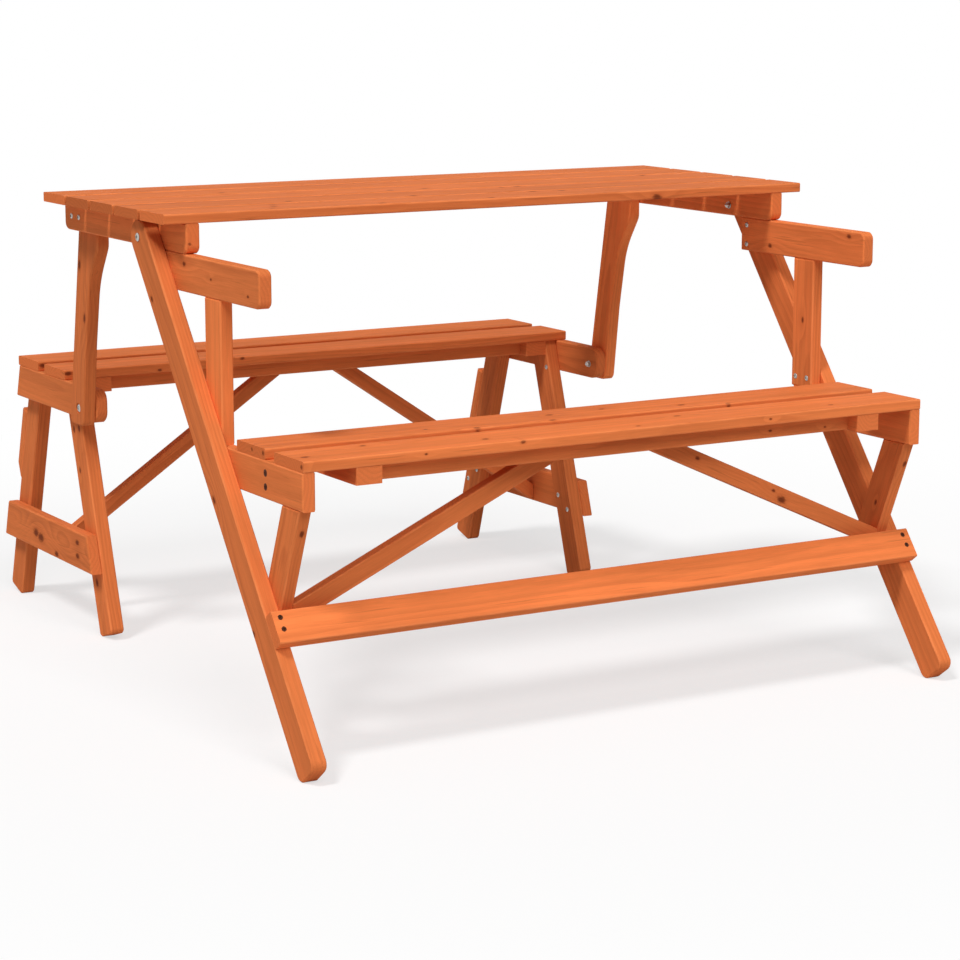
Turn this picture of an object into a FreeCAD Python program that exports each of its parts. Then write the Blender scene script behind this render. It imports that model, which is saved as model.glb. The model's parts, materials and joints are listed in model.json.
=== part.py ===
"""Convertible picnic table bench: a front bench and a rear bench joined by a tilting table top.

Millimetres. +X runs along the benches, +Y from the front bench to the rear bench, +Z up. It is drawn
with y = 0 at the table's front edge and moved at the end, so that the origin lies on the floor under
the middle of the whole object. Side pieces are drawn on the right, +X, and mirrored to the left.
"""
import FreeCAD, Part
import math
import os

Vector = FreeCAD.Vector

# Timber thicknesses, measured along X in the layers of each side
leg_thick = 24.0
frame_thick = 20.0
table_batten_thick = 22.0
arm_thick = 21.0
rail_thick = 20.0
rear_leg_thick = 24.0
side_play = 0.5

# Table top
table_height = 750.0
table_length = 1145.0
table_slats = 5
table_slat_width = 87.0
table_slat_thick = 15.0
table_slat_gap = 8.0
table_overhang = 10.5
table_batten_depth = 45.0
table_batten_inset = 1.0
table_batten_round = 12.0

# Pivots
pivot_setback = 120.0
pivot_reach = 367.0
pivot_shaft_radius = 4.0
pivot_running_gap = 0.08
pivot_head_radius = 8.0
pivot_head_height = 3.0
pivot_head_bevel = 1.2
pivot_head_sides = 12
pivot_nut_radius = 8.0
pivot_nut_height = 8.0
pivot_nut_sides = 6
pivot_nut_grip = 5.0
pivot_face_gap = 0.3
pivot_recess_depth = 2.6
pivot_recess_play = 0.5

# Seats, the same section on both benches
seat_height = 441.0
seat_slat_width = 91.0
seat_slat_thick = 16.0
seat_slat_gap = 28.0
seat_slats = 2
seat_rail_depth = 55.0
seat_end_inset = 1.0
front_seat_setback = 157.0
rear_seat_drop = 1.0
bench_gap = 20.0
cross_batten_width = 40.5
cross_batten_thick = 25.0
strip_thick = 20.0
strip_setback = 25.0
apron_thick = 20.0
slat_end_inset = 1.5

# Front bench
leg_width = 54.0
leg_angle = 52.45
leg_top_clearance = 1.0
leg_foot_round = 14.0
armrest_length = 328.0
armrest_depth = 55.0
armrest_clearance = 0.3
armrest_behind = 32.0
armrest_round = 11.0
armrest_bolt_inset = 16.2
armrest_bolt_margins = (11.0, 12.1)
post_width = 53.0
post_behind = 179.0
post_bolt_margin = 11.7
post_bolt_rise = 16.0
strut_width = 50.0
strut_lean = 22.5
strut_inset = 11.5
front_brace_width = 27.0
front_brace_landing = 21.7
front_brace_behind_footrest = 2.0
front_apron_depth = 40.0
brace_thick = 20.0
brace_half_gap = 4.0
front_cross_batten_length = 195.0
front_batten_outset = 5.0
rail_screw_setback = 116.0
rail_screw_margin = 17.6
footrest_width = 50.0
footrest_thick = 20.0
footrest_below_strut = 5.9
footrest_screw_margins = (11.0, 21.0)

# Arms that carry the rear bench
arm_top_inset = 10.5
arm_top_width = 67.0
arm_shoulder_drop = 71.0
arm_waist_drop = 129.0
arm_waist_width = 51.5
arm_calf_drop = 235.0
arm_calf_width = 49.5
arm_end_drop = 28.0
arm_end_width = 55.5
arm_end_behind = 30.8
arm_shoulder_round = 25.0
arm_waist_round = 150.0
arm_calf_round = 400.0
arm_end_round = 11.0
arm_bolt_margin = 18.8

# Rear bench
rear_rail_nose = 25.0
rear_rail_nose_round = 20.0
rear_rail_tail = 4.0
rear_leg_width = 50.0
rear_leg_splay = 17.4
rear_leg_foot_round = 8.0
rear_leg_inset_front = 30.0
rear_leg_inset_back = 34.0
leg_top_bolt_rise = 7.5
leg_top_bolt_outset = 17.5
stretcher_height = 109.5
stretcher_depth = 62.3
stretcher_bolt_rises = (12.5, 34.3)
stretcher_bolt_outset = 12.5
rear_brace_width = 25.0
rear_brace_landing = 1.0
rear_apron_setback = 100.0
rear_apron_depth = 36.0
block_thick = 20.0
block_top_down_leg = 100.0
block_length = 106.0
block_chamfer = 25.0

# Fasteners
bolt_radius = 3.0
bolt_head_radius = 5.5
bolt_head_height = 2.0
bolt_head_bevel = 0.8
small_fastener_sides = 6
screw_radius = 2.0
screw_head_radius = 4.5
screw_head_depth = 3.0
bolt_end_cover = 3.0

# Eased edges: the slats' are rounded, and the other boards' are bevelled
slat_round = 2.5
board_bevel = 2.0
brace_bevel = 1.0

# Lengths below this count as nothing
hair = 0.001

# Layers of the right side, each as the x of its inner and outer face
leg_layer = (table_length / 2 - table_overhang - leg_thick, table_length / 2 - table_overhang)
frame_layer = (leg_layer[0] - frame_thick, leg_layer[0])
batten_layer = (leg_layer[0] - side_play - table_batten_thick, leg_layer[0] - side_play)
arm_layer = (batten_layer[0] - arm_thick, batten_layer[0])
rail_layer = (arm_layer[0] - side_play - rail_thick, arm_layer[0] - side_play)
rear_leg_layer = (rail_layer[0] - rear_leg_thick, rail_layer[0])

# Heights
table_under = table_height - table_slat_thick
batten_bottom = table_under - table_batten_depth
front_seat_under = seat_height - seat_slat_thick
rear_seat_under = front_seat_under - rear_seat_drop
front_rail_bottom = front_seat_under - seat_rail_depth
rear_rail_bottom = rear_seat_under - seat_rail_depth
armrest_top = batten_bottom - armrest_clearance
armrest_bottom = armrest_top - armrest_depth

# Depths, as y from the table's front edge
table_depth = table_slats * table_slat_width + (table_slats - 1) * table_slat_gap
seat_depth = seat_slats * seat_slat_width + (seat_slats - 1) * seat_slat_gap
pivot_a = (pivot_setback, table_under - leg_top_clearance - leg_width / 2)
pivot_b = (pivot_setback + pivot_reach, rear_rail_bottom + rear_rail_nose)
front_seat = (-front_seat_setback - seat_depth, -front_seat_setback)
rear_seat_front = front_seat[1] + bench_gap + 2 * pivot_reach
rear_seat = (rear_seat_front, rear_seat_front + seat_depth)
armrest_rear = pivot_a[0] - armrest_behind
post_rear = pivot_a[0] - post_behind


# Slanted edges in the side view are kept as (y at the floor, dy/dz)
def edge_through(point, slope, moved_back=0.0):
    """The slanted edge through a point, moved rearwards."""
    return (point[0] - slope * point[1] + moved_back, slope)


def at_height(edge, z):
    """Where an edge is at height z, as (y, z)."""
    return (edge[0] + edge[1] * z, z)


def crossing(first, second):
    """Where two slanted edges cross, as (y, z)."""
    z = (second[0] - first[0]) / (first[1] - second[1])
    return at_height(first, z)


def corner_arc(before, corner, after, radius):
    """The three points of the arc that rounds a corner: its start, middle and end."""
    to_before = (before - corner).normalize()
    to_after = (after - corner).normalize()
    half = to_before.getAngle(to_after) / 2
    reach = radius / math.tan(half)
    inwards = (to_before + to_after).normalize()
    middle = corner + inwards * (radius / math.sin(half) - radius)
    return (corner + to_before * reach, middle, corner + to_after * reach)


def outline_face(corners, place):
    """A flat face from corners (a, b) or (a, b, radius), where place(a, b) gives the point in space."""
    points = [place(corner[0], corner[1]) for corner in corners]
    radii = [corner[2] if len(corner) > 2 else 0.0 for corner in corners]
    count = len(points)
    ends = []
    arcs = []
    for index in range(count):
        if radii[index] > 0:
            before = points[index - 1]
            after = points[(index + 1) % count]
            start, middle, end = corner_arc(before, points[index], after, radii[index])
            ends.append((start, end))
            arcs.append(Part.Arc(start, middle, end).toShape())
        else:
            ends.append((points[index], points[index]))
            arcs.append(None)
    edges = []
    for index in range(count):
        if arcs[index] is not None:
            edges.append(arcs[index])
        line_start = ends[index][1]
        line_end = ends[(index + 1) % count][0]
        if (line_end - line_start).Length > hair:
            edges.append(Part.makeLine(line_start, line_end))
    return Part.Face(Part.Wire(edges))


def rims_at(solid, direction, places):
    """The edges of the flat faces that lie at the given places along direction."""
    rims = []
    for edge in solid.Edges:
        ends = [vertex.Point.dot(direction) for vertex in edge.Vertexes]
        for place in places:
            if all(abs(end - place) < hair for end in ends):
                rims.append(edge)
    return rims


def side_board(corners, layer):
    """A board cut to an outline in the side view, as thick as its layer, with bevelled rims."""
    face = outline_face(corners, lambda y, z: Vector(layer[0], y, z))
    solid = face.extrude(Vector(layer[1] - layer[0], 0, 0))
    return solid.makeChamfer(board_bevel, rims_at(solid, Vector(1, 0, 0), layer))


def long_edges(solid, half_length):
    """The edges that run the whole length of a board along X."""
    return [edge for edge in solid.Edges if abs(edge.Length - 2 * half_length) < hair]


def plank(half_length, y_span, z_span):
    """A board along X with sharp edges and its ends cut square."""
    low = Vector(-half_length, y_span[0], z_span[0])
    return Part.makeBox(2 * half_length, y_span[1] - y_span[0], z_span[1] - z_span[0], low)


def slat_board(half_length, y_span, z_span):
    """A slat along X with its four long edges rounded."""
    slat = plank(half_length, y_span, z_span)
    return slat.makeFillet(slat_round, long_edges(slat, half_length))


def bevelled_board(half_length, y_span, z_span):
    """A board along X with its four long edges bevelled."""
    board = plank(half_length, y_span, z_span)
    return board.makeChamfer(board_bevel, long_edges(board, half_length))


def ring(radius, sides, height):
    """A closed wire round the Z axis with straight sides."""
    step = 2 * math.pi / sides
    spots = []
    for number in range(sides + 1):
        turn = (number + 0.5) * step
        spots.append(Vector(radius * math.cos(turn), radius * math.sin(turn), height))
    return Part.makePolygon(spots)


def prism(radius, sides, low, high, bevel=0.0):
    """A straight-sided pin or head round the Z axis, its upper rim bevelled if wanted."""
    solid = Part.Face(ring(radius, sides, low)).extrude(Vector(0, 0, high - low))
    if bevel > 0:
        return solid.makeChamfer(bevel, rims_at(solid, Vector(0, 0, 1), [high]))
    return solid


def placed(solid, point, direction):
    """A piece made round the Z axis, moved to a point and turned to look along direction."""
    solid.Placement = FreeCAD.Placement(point, FreeCAD.Rotation(Vector(0, 0, 1), direction))
    return solid


def pivot_bolt(point, direction, length):
    """A pivot bolt whose head sits on point and looks along direction, with a round shaft."""
    shaft = Part.makeCylinder(pivot_shaft_radius, length, Vector(0, 0, -length))
    head = prism(pivot_head_radius, pivot_head_sides, 0, pivot_head_height, pivot_head_bevel)
    return placed(shaft.fuse(head), point, direction)


def pivot_nut(point, direction):
    """A closed nut that sits on point, looks along direction and holds the end of a bolt."""
    nut = prism(pivot_nut_radius, pivot_nut_sides, 0, pivot_nut_height, pivot_head_bevel)
    bore = Part.makeCylinder(pivot_shaft_radius, pivot_nut_grip)
    return placed(nut.cut(bore), point, direction)


def board_bolt(point, direction, length):
    """A bolt that holds two boards, its head on point and looking along direction."""
    shaft = prism(bolt_radius, small_fastener_sides, -length, 0)
    head = prism(bolt_head_radius, small_fastener_sides, 0, bolt_head_height, bolt_head_bevel)
    return placed(shaft.fuse(head), point, direction)


def flat_screw(point, direction, length):
    """A countersunk screw whose flat head is flush with the face at point."""
    shaft = prism(screw_radius, small_fastener_sides, -length, -screw_head_depth)
    rims = [ring(screw_radius, small_fastener_sides, -screw_head_depth),
            ring(screw_head_radius, small_fastener_sides, 0)]
    head = Part.makeLoft(rims, True, True)
    return placed(shaft.fuse(head), point, direction)


def cross_hole(centre, radius, layer):
    """A hole along X through a layer."""
    start = Vector(layer[0], centre[0], centre[1])
    return Part.makeCylinder(radius, layer[1] - layer[0], start, Vector(1, 0, 0))


def drilled(solid, tools):
    """A solid with holes, or with the seats of screws, cut out of it."""
    for tool in tools:
        solid = solid.cut(tool)
    return solid


def mirrored(solid):
    """The left-hand copy of a right-hand piece."""
    return solid.mirror(Vector(0, 0, 0), Vector(1, 0, 0))


pieces = {}


def add(name, solid):
    """Keep one piece, or a group of like fasteners."""
    pieces[name] = solid


def add_pair(name, solid):
    """Keep a right-hand piece and its mirrored left-hand copy."""
    add(name + "_right", solid)
    add(name + "_left", mirrored(solid))


def add_fasteners(name, right_hand):
    """Keep the fasteners of both sides as one group of separate solids."""
    both = right_hand + [mirrored(solid) for solid in right_hand]
    add(name, Part.makeCompound(both))


# The long legs' own axes: down the leg from pivot A, and out through its front edge
leg_turn = math.radians(leg_angle)
leg_down = (-math.cos(leg_turn), -math.sin(leg_turn))
leg_front = (-math.sin(leg_turn), math.cos(leg_turn))
leg_slope = 1 / math.tan(leg_turn)
leg_half = leg_width / 2
leg_rear_edge = edge_through(pivot_a, leg_slope, leg_half / math.sin(leg_turn))


def on_leg(down, front):
    """A point of the side view in the long leg's own axes, as (y, z)."""
    return (pivot_a[0] + down * leg_down[0] + front * leg_front[0],
            pivot_a[1] + down * leg_down[1] + front * leg_front[1])


def bolts_from_inside(points, inner_face, length):
    """Bolts driven outwards from an inner face at the points (y, z) of the side view."""
    return [board_bolt(Vector(inner_face, y, z), Vector(-1, 0, 0), length) for y, z in points]


# The struts' edges, and where their front edges leave the front edges of the long legs
leg_front_edge = edge_through(pivot_a, leg_slope, -leg_half / math.sin(leg_turn))
strut_slope = -math.tan(math.radians(strut_lean))
strut_top = (front_seat[0] + seat_end_inset + strut_inset, front_rail_bottom)
strut_front_edge = edge_through(strut_top, strut_slope)
strut_rear_edge = edge_through(strut_top, strut_slope,
                               strut_width / math.cos(math.radians(strut_lean)))
strut_meets_leg = crossing(strut_front_edge, leg_front_edge)
footrest_down_leg = (footrest_below_strut
                     + (strut_meets_leg[0] - pivot_a[0]) * leg_down[0]
                     + (strut_meets_leg[1] - pivot_a[1]) * leg_down[1])
footrest_top = on_leg(footrest_down_leg, leg_half)


def make_front_legs():
    """Long leg with a round top about pivot A and a foot cut square with rounded corners."""
    foot_rise = (leg_half - leg_foot_round) * math.cos(leg_turn) + leg_foot_round
    foot = leg_foot_round + (pivot_a[1] - foot_rise) / math.sin(leg_turn)
    corners = [on_leg(-leg_half, leg_half) + (leg_half,),
               on_leg(foot, leg_half) + (leg_foot_round,),
               on_leg(foot, -leg_half) + (leg_foot_round,),
               on_leg(-leg_half, -leg_half) + (leg_half,)]
    leg = side_board(corners, leg_layer)
    bores = [cross_hole(pivot_a, pivot_shaft_radius, leg_layer)]
    return drilled(leg, bores + armrest_bolts() + post_bolts() + footrest_screws())


def armrest_bolt_points():
    """Where the armrest bolts sit, as (y, z)."""
    y = armrest_rear - armrest_bolt_inset
    return [(y, armrest_bottom + armrest_bolt_margins[0]),
            (y, armrest_top - armrest_bolt_margins[1])]


def armrest_bolts():
    """Bolts through the armrests into the long legs."""
    length = frame_thick + leg_thick - bolt_end_cover
    return bolts_from_inside(armrest_bolt_points(), frame_layer[0], length)


def post_bolt_points():
    """Where the post bolts sit, as (y, z)."""
    z = front_seat_under + post_bolt_rise
    return [(post_rear - post_width + post_bolt_margin, z), (post_rear - post_bolt_margin, z)]


def post_bolts():
    """Bolts through the posts into the long legs."""
    length = frame_thick + leg_thick - bolt_end_cover
    return bolts_from_inside(post_bolt_points(), frame_layer[0], length)


def make_armrests():
    """Armrest board on edge, bolted inside the long leg, with rounded front corners."""
    front = armrest_rear - armrest_length
    corners = [(front, armrest_bottom, armrest_round), (armrest_rear, armrest_bottom),
               (armrest_rear, armrest_top), (front, armrest_top, armrest_round)]
    return drilled(side_board(corners, frame_layer), armrest_bolts())


def make_arm_posts():
    """Post from the seat rail up to the armrest."""
    front = post_rear - post_width
    corners = [(front, front_seat_under), (post_rear, front_seat_under),
               (post_rear, armrest_bottom), (front, armrest_bottom)]
    return drilled(side_board(corners, frame_layer), post_bolts())


def front_rail_screws():
    """Countersunk screws in the rails' outer faces."""
    y = front_seat[0] + rail_screw_setback
    spots = [front_rail_bottom + rail_screw_margin, front_seat_under - rail_screw_margin]
    length = frame_thick - bolt_end_cover
    return [flat_screw(Vector(frame_layer[1], y, z), Vector(1, 0, 0), length) for z in spots]


def make_front_rails():
    """Seat rail of the front bench, its tail cut along the rear edge of the long leg."""
    front = front_seat[0] + seat_end_inset
    tail_low = at_height(leg_rear_edge, front_rail_bottom)
    tail_high = at_height(leg_rear_edge, front_seat_under)
    corners = [(front, front_rail_bottom), tail_low, tail_high, (front, front_seat_under)]
    return drilled(side_board(corners, frame_layer), front_rail_screws())


def make_struts():
    """Strut from under the seat rail back to the long leg, cut along the leg's rear edge."""
    corners = [strut_top, crossing(strut_front_edge, leg_rear_edge),
               crossing(strut_rear_edge, leg_rear_edge),
               at_height(strut_rear_edge, front_rail_bottom)]
    return side_board(corners, frame_layer)


def footrest_screw_points():
    """Where the right-hand footrest screws sit, as points in space."""
    middle = (leg_layer[0] + leg_layer[1]) / 2
    downs = [footrest_screw_margins[0], footrest_width - footrest_screw_margins[1]]
    spots = []
    for down in downs:
        y, z = on_leg(footrest_down_leg + down, leg_half + footrest_thick)
        spots.append(Vector(middle, y, z))
    return spots


def footrest_screws():
    """Countersunk screws through the ends of the footrest into the long legs."""
    outwards = Vector(0, leg_front[0], leg_front[1])
    length = footrest_thick + leg_half
    return [flat_screw(spot, outwards, length) for spot in footrest_screw_points()]


def make_footrest():
    """Board laid flat on the front edges of both long legs."""
    top = footrest_down_leg
    bottom = footrest_down_leg + footrest_width
    under = leg_half
    over = leg_half + footrest_thick
    corners = [on_leg(top, under), on_leg(bottom, under), on_leg(bottom, over), on_leg(top, over)]
    half_length = leg_layer[1]
    face = outline_face(corners, lambda y, z: Vector(-half_length, y, z))
    board = face.extrude(Vector(2 * half_length, 0, 0))
    board = board.makeFillet(slat_round, long_edges(board, half_length))
    right = footrest_screws()
    return drilled(board, right + [mirrored(screw) for screw in right])


def make_seat(name, span, under, half_length, batten_outer, batten_length):
    """Slats, cross battens and front strip of one seat."""
    top = under + seat_slat_thick
    for number in range(seat_slats):
        y = span[0] + number * (seat_slat_width + seat_slat_gap)
        slat = slat_board(half_length, (y, y + seat_slat_width), (under, top))
        add("%s_seat_slat_%d" % (name, number + 1), slat)
    inner = batten_outer - cross_batten_width
    low = under - cross_batten_thick
    front = span[0] + seat_end_inset
    rear = front + batten_length
    corners = [(front, low), (rear, low), (rear, under), (front, under)]
    face = outline_face(corners, lambda y, z: Vector(inner, y, z))
    batten = face.extrude(Vector(cross_batten_width, 0, 0))
    add_pair(name + "_cross_batten", batten)
    strip_front = span[0] + strip_setback
    strip = bevelled_board(inner, (strip_front, strip_front + strip_thick), (low, under))
    add(name + "_seat_strip", strip)


def make_apron(name, plane, under, half_length, depth):
    """Apron on edge under the middle of a seat."""
    apron = bevelled_board(half_length, (plane, plane + apron_thick), (under - depth, under))
    add(name + "_seat_apron", apron)


def make_braces(name, plane, under, end, landing, width):
    """The two braces in front of an apron, from the slats' undersides to a height on the sides."""
    start = brace_half_gap
    slope = (under - landing) / (end - start)
    height = width / math.cos(math.atan(slope))
    corners = [(start, under), (end, landing), (end, landing + height),
               (start + height / slope, under)]
    face = outline_face(corners, lambda x, z: Vector(x, plane - brace_thick, z))
    brace = face.extrude(Vector(0, brace_thick, 0))
    rims = rims_at(brace, Vector(0, 1, 0), [plane - brace_thick, plane])
    add_pair(name + "_brace", brace.makeChamfer(brace_bevel, rims))


def make_front_bench():
    """The bench that stands still: long legs, rails, struts, armrests, posts, footrest and seat."""
    add_pair("front_leg", make_front_legs())
    add_pair("front_rail", make_front_rails())
    add_pair("armrest", make_armrests())
    add_pair("arm_post", make_arm_posts())
    add_pair("strut", make_struts())
    add("footrest_board", make_footrest())
    batten_outer = rear_leg_layer[0] + front_batten_outset
    make_seat("front", front_seat, front_seat_under, frame_layer[1] - slat_end_inset,
              batten_outer, front_cross_batten_length)
    plane = footrest_top[0] + front_brace_behind_footrest + brace_thick
    make_apron("front", plane, front_seat_under, batten_outer - cross_batten_width,
               front_apron_depth)
    make_braces("front", plane, front_seat_under, frame_layer[0],
                strut_meets_leg[1] - front_brace_landing, front_brace_width)
    add_fasteners("armrest_bolts", armrest_bolts())
    add_fasteners("post_bolts", post_bolts())
    add_fasteners("footrest_screws", footrest_screws())
    add_fasteners("front_rail_screws", front_rail_screws())


def table_pivot_bolts():
    """Bolts from the long legs' outer faces through the table's battens."""
    y, z = pivot_a
    length = leg_layer[1] - batten_layer[0] + pivot_face_gap + pivot_nut_grip
    return [pivot_bolt(Vector(leg_layer[1], y, z), Vector(1, 0, 0), length)]


def table_pivot_nuts():
    """Nuts inside the battens on the bolts of pivot A."""
    y, z = pivot_a
    return [pivot_nut(Vector(batten_layer[0] - pivot_face_gap, y, z), Vector(-1, 0, 0))]


def arm_rear_edge():
    """The arm's straight rear edge, from under the table down past pivot B."""
    top = table_depth - arm_top_inset
    foot = pivot_b[0] + arm_end_behind
    return edge_through((top, table_under), (foot - top) / (pivot_b[1] - table_under))


def arm_bolts():
    """Bolts through the table's battens into the tops of the arms."""
    rear = table_depth - arm_top_inset
    z = table_under - table_batten_depth / 2
    length = table_batten_thick + arm_thick - bolt_end_cover
    spots = [rear - arm_top_width + arm_bolt_margin, rear - arm_bolt_margin]
    return [board_bolt(Vector(batten_layer[1], y, z), Vector(1, 0, 0), length) for y in spots]


def make_table_battens():
    """Batten across the slats, with rounded lower corners, that turns on pivot A."""
    front = table_batten_inset
    rear = table_depth - table_batten_inset
    corners = [(front, batten_bottom, table_batten_round),
               (rear, batten_bottom, table_batten_round),
               (rear, table_under), (front, table_under)]
    hole = cross_hole(pivot_a, pivot_shaft_radius + pivot_running_gap, batten_layer)
    return drilled(side_board(corners, batten_layer), [hole] + arm_bolts())


def make_table_arms():
    """Curved arm from the batten down to pivot B, drawn in below the shoulder."""
    rear_edge = arm_rear_edge()
    shoulder = table_under - arm_shoulder_drop
    waist = table_under - arm_waist_drop
    calf = table_under - arm_calf_drop
    end = pivot_b[1] - arm_end_drop
    top_rear = at_height(rear_edge, table_under)
    top_front = top_rear[0] - arm_top_width
    end_rear = at_height(rear_edge, end)
    corners = [top_rear, (top_front, table_under),
               (top_front, shoulder, arm_shoulder_round),
               (at_height(rear_edge, waist)[0] - arm_waist_width, waist, arm_waist_round),
               (at_height(rear_edge, calf)[0] - arm_calf_width, calf, arm_calf_round),
               (end_rear[0] - arm_end_width, end, arm_end_round),
               end_rear + (arm_end_round,)]
    hole = cross_hole(pivot_b, pivot_shaft_radius + pivot_running_gap, arm_layer)
    recess_layer = (arm_layer[1] - pivot_recess_depth, arm_layer[1])
    recess = cross_hole(pivot_b, pivot_head_radius + pivot_recess_play, recess_layer)
    return drilled(side_board(corners, arm_layer), [hole, recess] + arm_bolts())


def make_table_top():
    """The tilting table top: slats, battens and the arms that carry the rear bench."""
    for number in range(table_slats):
        y = number * (table_slat_width + table_slat_gap)
        slat = slat_board(table_length / 2, (y, y + table_slat_width), (table_under, table_height))
        add("table_slat_%d" % (number + 1), slat)
    add_pair("table_batten", make_table_battens())
    add_pair("table_arm", make_table_arms())
    add_fasteners("table_pivot_bolts", table_pivot_bolts())
    add_fasteners("table_pivot_nuts", table_pivot_nuts())
    add_fasteners("arm_bolts", arm_bolts())


# The rear legs' own axes: the two legs of a side splay apart by the same angle
splay = math.radians(rear_leg_splay)
rear_leg_half = rear_leg_width / 2
half_across = rear_leg_half / math.cos(splay)


def leg_top(lean):
    """Middle of a rear bench leg's top, for the leg that leans back (1) or forward (-1)."""
    if lean > 0:
        return (rear_seat[1] - rear_leg_inset_back, rear_seat_under)
    return (rear_seat[0] + rear_leg_inset_front, rear_seat_under)


def on_rear_leg(lean, down, outer):
    """A point of the side view in a rear bench leg's own axes, as (y, z)."""
    top = leg_top(lean)
    return (top[0] + lean * (down * math.sin(splay) + outer * math.cos(splay)),
            top[1] - down * math.cos(splay) + outer * math.sin(splay))


def rear_leg_edge(lean, outer):
    """The slanted edge of a rear bench leg: outer is 1 for its outer edge and -1 for its inner."""
    return edge_through(leg_top(lean), -lean * math.tan(splay), lean * outer * half_across)


def leg_top_bolts(lean):
    """Bolt through the top of a leg into the seat rail."""
    z = rear_rail_bottom + leg_top_bolt_rise
    y = at_height(rear_leg_edge(lean, 0), z)[0] + lean * leg_top_bolt_outset
    length = rear_leg_thick + rail_thick - bolt_end_cover
    return bolts_from_inside([(y, z)], rear_leg_layer[0], length)


def stretcher_bolts(lean):
    """Two bolts through a leg into the stretcher."""
    length = rear_leg_thick + rail_thick - bolt_end_cover
    points = []
    for rise, side in zip(stretcher_bolt_rises, (1, -1)):
        z = stretcher_height + rise
        y = at_height(rear_leg_edge(lean, 0), z)[0]
        points.append((y + side * lean * stretcher_bolt_outset, z))
    return bolts_from_inside(points, rear_leg_layer[0], length)


def make_rear_leg(lean):
    """Leg of the rear bench: level at the top, its foot cut square with rounded corners."""
    flat = rear_leg_foot_round
    rise = (rear_leg_half - flat) * math.sin(splay) + flat
    foot = flat + (rear_seat_under - rise) / math.cos(splay)
    corners = [at_height(rear_leg_edge(lean, -1), rear_seat_under),
               at_height(rear_leg_edge(lean, 1), rear_seat_under),
               on_rear_leg(lean, foot, rear_leg_half) + (flat,),
               on_rear_leg(lean, foot, -rear_leg_half) + (flat,)]
    leg = side_board(corners, rear_leg_layer)
    return drilled(leg, leg_top_bolts(lean) + stretcher_bolts(lean))


def rear_pivot_bolts():
    """Bolts from the recess in the arms through the rear bench's rails."""
    y, z = pivot_b
    start = arm_layer[1] - pivot_recess_depth + pivot_face_gap
    length = start - rail_layer[0] + pivot_nut_grip
    return [pivot_bolt(Vector(start, y, z), Vector(1, 0, 0), length)]


def rear_pivot_nuts():
    """Nuts inside the rear rails on the bolts of pivot B."""
    y, z = pivot_b
    return [pivot_nut(Vector(rail_layer[0], y, z), Vector(-1, 0, 0))]


def make_rear_rails():
    """Seat rail of the rear bench: a round nose about pivot B and a tail cut like the leg."""
    nose = pivot_b[0] - rear_rail_nose
    tail = edge_through(leg_top(1), -math.tan(splay), half_across + rear_rail_tail)
    corners = [(nose, rear_rail_bottom, rear_rail_nose_round),
               at_height(tail, rear_rail_bottom), at_height(tail, rear_seat_under),
               (nose, rear_seat_under, rear_rail_nose_round)]
    hole = cross_hole(pivot_b, pivot_shaft_radius, rail_layer)
    return drilled(side_board(corners, rail_layer), [hole] + leg_top_bolts(1) + leg_top_bolts(-1))


def make_stretchers():
    """Stretcher outside the two legs of a side, its ends flush with their outer edges."""
    front_edge = rear_leg_edge(-1, 1)
    rear_edge = rear_leg_edge(1, 1)
    top = stretcher_height + stretcher_depth
    corners = [at_height(front_edge, stretcher_height), at_height(rear_edge, stretcher_height),
               at_height(rear_edge, top), at_height(front_edge, top)]
    board = side_board(corners, rail_layer)
    return drilled(board, stretcher_bolts(1) + stretcher_bolts(-1))


def make_rest_blocks():
    """Block on the back of a rear leg, chamfered below, that stops the backrest from below."""
    top = block_top_down_leg
    low = top + block_length
    near = rear_leg_half
    far = rear_leg_half + block_thick
    corners = [on_rear_leg(1, top, near), on_rear_leg(1, top, far), on_rear_leg(1, low, far),
               on_rear_leg(1, low + block_chamfer, near)]
    return side_board(corners, rear_leg_layer)


def make_rear_bench():
    """The bench that hangs on the arms: rails, splayed legs, stretchers, blocks and seat."""
    add_pair("rear_rail", make_rear_rails())
    add_pair("rear_bench_back_leg", make_rear_leg(1))
    add_pair("rear_bench_front_leg", make_rear_leg(-1))
    add_pair("stretcher", make_stretchers())
    add_pair("rest_block", make_rest_blocks())
    batten_outer = rear_leg_layer[0]
    make_seat("rear", rear_seat, rear_seat_under, rail_layer[1] - side_play, batten_outer,
              seat_depth - 2 * seat_end_inset)
    plane = rear_seat[0] + rear_apron_setback
    make_apron("rear", plane, rear_seat_under, batten_outer - cross_batten_width,
               rear_apron_depth)
    make_braces("rear", plane, rear_seat_under, rail_layer[0],
                stretcher_height + rear_brace_landing, rear_brace_width)
    add_fasteners("rear_pivot_bolts", rear_pivot_bolts())
    add_fasteners("rear_pivot_nuts", rear_pivot_nuts())
    add_fasteners("leg_top_bolts", leg_top_bolts(1) + leg_top_bolts(-1))
    add_fasteners("stretcher_bolts", stretcher_bolts(1) + stretcher_bolts(-1))


def main():
    """Make every piece, centre the object over the origin and write one file for each piece."""
    make_front_bench()
    make_table_top()
    make_rear_bench()
    boxes = [solid.BoundBox for solid in pieces.values()]
    middle = (min(box.YMin for box in boxes) + max(box.YMax for box in boxes)) / 2
    os.makedirs("parts", exist_ok=True)
    for name, solid in pieces.items():
        solid.translate(Vector(0, -middle, 0))
        solid.exportStep("parts/%s.step" % name)
    fold = 180 - 2 * math.degrees(math.atan2(pivot_a[1] - pivot_b[1], pivot_reach))
    print("pieces", len(pieces))
    print("moved forward by %.4f" % middle)
    print("pivot A y %.4f z %.4f" % (pivot_a[0] - middle, pivot_a[1]))
    print("pivot B y %.4f z %.4f" % (pivot_b[0] - middle, pivot_b[1]))
    print("fold angle %.4f" % fold)


if __name__ == "__main__":
    main()
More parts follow.
